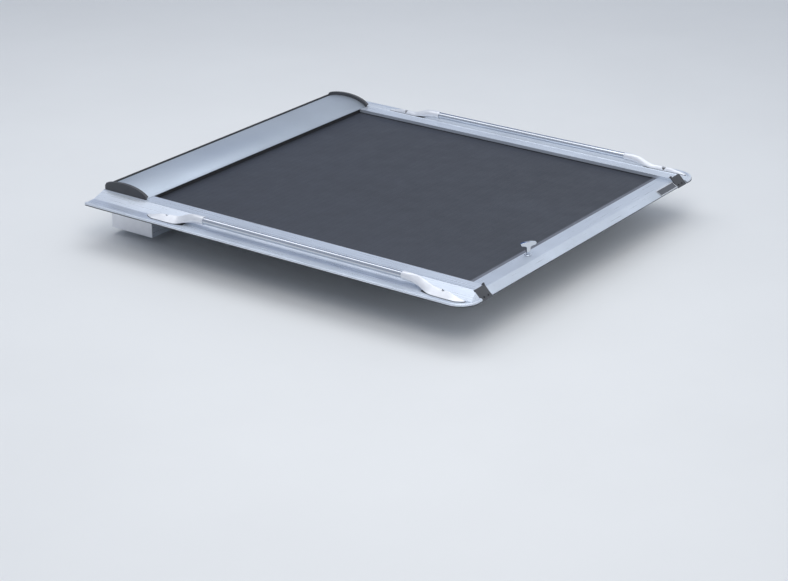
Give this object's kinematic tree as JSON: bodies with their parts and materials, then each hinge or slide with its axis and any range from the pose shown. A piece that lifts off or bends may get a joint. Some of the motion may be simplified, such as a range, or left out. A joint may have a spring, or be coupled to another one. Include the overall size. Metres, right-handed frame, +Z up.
{
  "type": "roll-up tonneau cover",
  "caption": "Retractable tonneau cover for a pickup bed: vinyl curtain, aluminium side rails, roll canister with arched lid, locking tail bar and load rails.",
  "frame": {"origin": "on the canister's flat front face, on the centreline, at the height of the bed rails' tops", "axes": "+X to the vehicle's right seen from the tailgate, +Y to the cab, +Z up"},
  "size_m": [1.663, 1.7615, 0.2355],
  "materials": {
    "anodised": "satin",
    "lid_silver": "satin",
    "stainless": "polished",
    "cast_silver": "satin",
    "chrome": "polished",
    "vinyl": "satin",
    "rubber": "matte",
    "dark_plastic": "matte",
    "nylon": "satin",
    "steel": "satin",
    "plate_face": "satin"
  },
  "bodies": {
    "root": {"side_rail_left": "anodised", "side_rail_right": "anodised", "track_liner_left": "nylon", "track_liner_right": "nylon", "seat_strip_left": "rubber", "seat_strip_right": "rubber", "lip_seal_left": "rubber", "lip_seal_right": "rubber", "rail_end_cap_left": "dark_plastic", "rail_end_cap_right": "dark_plastic", "load_foot_left_front": "cast_silver", "load_foot_left_rear": "cast_silver", "load_foot_right_front": "cast_silver", "load_foot_right_rear": "cast_silver", "load_tube_left": "stainless", "load_tube_right": "stainless", "clamp_left_front": "cast_silver", "clamp_left_rear": "cast_silver", "clamp_right_front": "cast_silver", "clamp_right_rear": "cast_silver", "clamp_bolt_left_front": "steel", "clamp_bolt_left_rear": "steel", "clamp_bolt_right_front": "steel", "clamp_bolt_right_rear": "steel", "canister_housing": "anodised", "canister_end_left": "cast_silver", "canister_end_right": "cast_silver", "lid_end_cap_left": "dark_plastic", "lid_end_cap_right": "dark_plastic", "drain_spout_left": "rubber", "drain_spout_right": "rubber", "lid_panel": "lid_silver", "lid_front_seal": "rubber", "lid_wiper_seal": "rubber", "drum_shaft": "steel", "return_spring": "steel", "curtain_lead": "vinyl"},
    "tail_bar": {"tail_bar": "anodised", "curtain_edge_strip": "dark_plastic", "bar_lip_seal": "rubber", "bar_slider_left": "nylon", "bar_slider_right": "nylon", "name_plate": "plate_face", "lock_escutcheon": "chrome", "curtain_section_1": "vinyl"},
    "curtain_2": {"curtain_section_2": "vinyl"},
    "curtain_3": {"curtain_section_3": "vinyl"},
    "curtain_4": {"curtain_section_4": "vinyl"},
    "curtain_5": {"curtain_section_5": "vinyl"},
    "curtain_6": {"curtain_section_6": "vinyl"},
    "drum": {"drum_tube": "anodised", "curtain_coil": "vinyl", "drum_bearing_left": "nylon", "drum_bearing_right": "nylon"},
    "guide_roller": {"guide_roller": "steel"},
    "lock_handle": {"lock_handle": "chrome", "lock_cam": "steel"},
    "lock_cylinder": {"lock_cylinder": "steel"},
    "lock_rod_left": {"lock_rod_left": "steel"},
    "lock_rod_right": {"lock_rod_right": "steel"}
  },
  "joints": [
    {"name": "tail_bar_slide", "type": "slide", "parent": "root", "child": "tail_bar", "axis": [0, 1, 0], "range_m": [0, 1.415], "deforming": ["curtain_lead"]},
    {"name": "curtain_2_slide", "type": "slide", "parent": "root", "child": "curtain_2", "axis": [0, 1, 0], "range_m": [0, 1.1729], "deforming": ["curtain_section_2"]},
    {"name": "curtain_3_slide", "type": "slide", "parent": "root", "child": "curtain_3", "axis": [0, 1, 0], "range_m": [0, 0.9303], "deforming": ["curtain_section_3"]},
    {"name": "curtain_4_slide", "type": "slide", "parent": "root", "child": "curtain_4", "axis": [0, 1, 0], "range_m": [0, 0.6877], "deforming": ["curtain_section_4"]},
    {"name": "curtain_5_slide", "type": "slide", "parent": "root", "child": "curtain_5", "axis": [0, 1, 0], "range_m": [0, 0.445], "deforming": ["curtain_section_5"]},
    {"name": "curtain_6_slide", "type": "slide", "parent": "root", "child": "curtain_6", "axis": [0, 1, 0], "range_m": [0, 0.2024], "deforming": ["curtain_section_6"]},
    {"name": "drum_turn", "type": "hinge", "parent": "root", "child": "drum", "pos_m": [0, -0.104, -0.0453], "axis": [-1, 0, 0], "range_deg": [0, 1202]},
    {"name": "guide_roller_turn", "type": "hinge", "parent": "root", "child": "guide_roller", "pos_m": [0, -0.192, 0.0236], "axis": [1, 0, 0], "continuous": true},
    {"name": "lock_rod_right_slide", "type": "slide", "parent": "tail_bar", "child": "lock_rod_right", "axis": [1, 0, 0], "range_m": [0, 0.012]},
    {"name": "lock_rod_left_slide", "type": "slide", "parent": "tail_bar", "child": "lock_rod_left", "axis": [-1, 0, 0], "range_m": [0, 0.0121]},
    {"name": "lock_handle_turn", "type": "hinge", "parent": "tail_bar", "child": "lock_handle", "pos_m": [-0.324, -1.686, 0.05], "axis": [0, 0, 1], "range_deg": [0, 90]},
    {"name": "key_turn", "type": "hinge", "parent": "lock_handle", "child": "lock_cylinder", "pos_m": [-0.324, -1.686, 0.06], "axis": [0, 0, 1], "range_deg": [0, 90]}
  ],
  "couplings": [
    {"joint": "curtain_2_slide", "follows": "tail_bar_slide", "ratio": 0.82854},
    {"joint": "curtain_3_slide", "follows": "tail_bar_slide", "ratio": 0.65708},
    {"joint": "curtain_4_slide", "follows": "tail_bar_slide", "ratio": 0.48562},
    {"joint": "curtain_5_slide", "follows": "tail_bar_slide", "ratio": 0.31416},
    {"joint": "curtain_6_slide", "follows": "tail_bar_slide", "ratio": 0.1427},
    {"joint": "drum_turn", "follows": "tail_bar_slide", "rad_per_m": 14.8},
    {"joint": "guide_roller_turn", "follows": "tail_bar_slide", "rad_per_m": 166.67},
    {"joint": "lock_rod_left_slide", "follows": "lock_rod_right_slide", "ratio": 1},
    {"joint": "lock_handle_turn", "follows": "lock_rod_right_slide", "rad_per_m": 130.89}
  ]
}
